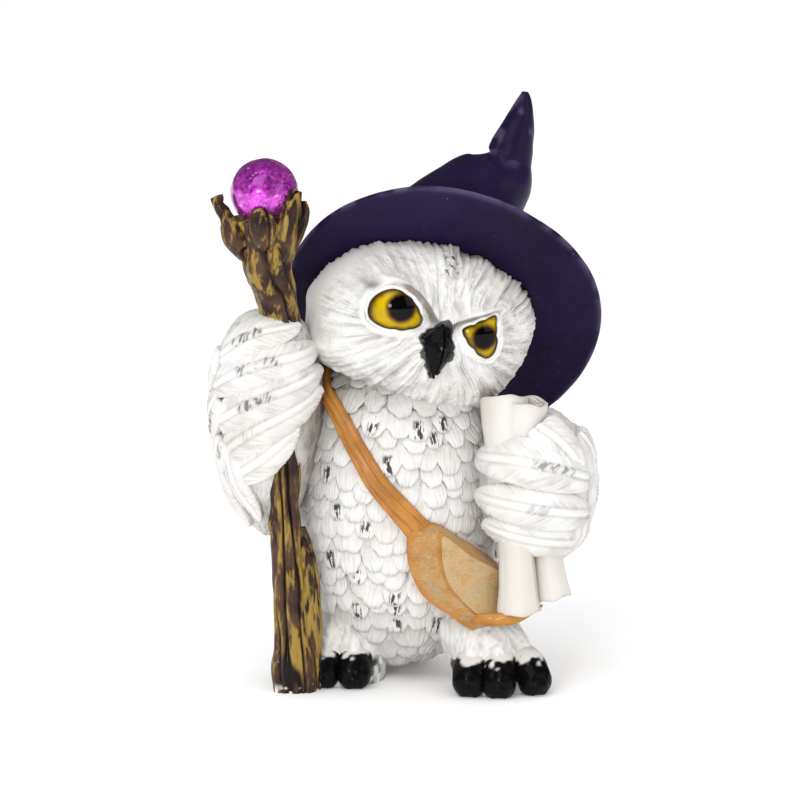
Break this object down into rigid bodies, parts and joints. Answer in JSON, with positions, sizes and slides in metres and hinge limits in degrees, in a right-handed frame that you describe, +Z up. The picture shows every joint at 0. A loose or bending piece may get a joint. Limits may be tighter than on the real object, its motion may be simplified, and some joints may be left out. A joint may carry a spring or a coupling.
{
  "type": "owl figurine",
  "caption": "White owl figurine in a bent pointed hat, holding a root staff with an orb in one wing and a rolled scroll in the other, with a slung satchel.",
  "frame": {"origin": "on the shelf, under the middle of the figurine's bounding box", "axes": "+Z up, the owl's belly faces -Y, and the staff stands on the -X side"},
  "size_m": [0.0914, 0.0664, 0.1327],
  "materials": {
    "feather_white": "white paint over cast resin, satin, with a thin grey-brown wash in the grooves",
    "hat_purple": "very dark purple satin paint over cast resin",
    "gloss_black": "black satin paint over cast resin",
    "eye_amber": "amber and black paint under clear gloss",
    "orb_foil": "metallic magenta paint under clear gloss",
    "bark_brown": "dark brown paint with ochre dry-brushing, semi-gloss",
    "parchment": "cream white paint, satin",
    "satchel_tan": "orange tan paint with pale dry-brushing, satin"
  },
  "bodies": {
    "root": {"body": "feather_white", "right_eye": "eye_amber", "left_eye": "eye_amber", "beak": "gloss_black", "head": "feather_white", "orb": "orb_foil", "staff": "bark_brown", "staff_strand": "bark_brown", "staff_claw_1": "bark_brown", "staff_claw_2": "bark_brown", "staff_claw_3": "bark_brown", "staff_claw_4": "bark_brown", "staff_claw_5": "bark_brown", "scroll_front_roll": "parchment", "scroll_back_roll": "parchment", "hat_brim": "hat_purple", "hat_crown": "hat_purple", "hat_tip": "hat_purple", "satchel_bag": "satchel_tan", "satchel_flap": "satchel_tan", "satchel_strap_front": "satchel_tan", "satchel_strap_back": "satchel_tan", "right_wing": "feather_white", "right_wing_finger_1": "feather_white", "right_wing_finger_2": "feather_white", "right_wing_finger_3": "feather_white", "right_wing_finger_4": "feather_white", "right_wing_finger_5": "feather_white", "right_wing_covert_1": "feather_white", "right_wing_covert_2": "feather_white", "right_wing_covert_3": "feather_white", "right_wing_covert_4": "feather_white", "right_wing_covert_5": "feather_white", "right_wing_primary_1": "feather_white", "right_wing_primary_2": "feather_white", "right_wing_primary_3": "feather_white", "left_wing": "feather_white", "left_wing_finger_1": "feather_white", "left_wing_finger_2": "feather_white", "left_wing_finger_3": "feather_white", "left_wing_covert_1": "feather_white", "left_wing_covert_2": "feather_white", "left_wing_covert_3": "feather_white", "left_wing_covert_4": "feather_white", "left_wing_covert_5": "feather_white", "left_wing_primary_1": "feather_white", "left_wing_primary_2": "feather_white", "left_wing_primary_3": "feather_white", "toe_right_outer": "gloss_black", "toe_right_middle": "gloss_black", "toe_right_inner": "gloss_black", "toe_left_inner": "gloss_black", "toe_left_middle": "gloss_black", "toe_left_outer": "gloss_black", "right_leg": "feather_white", "left_leg": "feather_white", "tail_base": "feather_white", "tail_feather_1": "feather_white", "tail_feather_2": "feather_white", "tail_feather_3": "feather_white"}
  },
  "joints": []
}
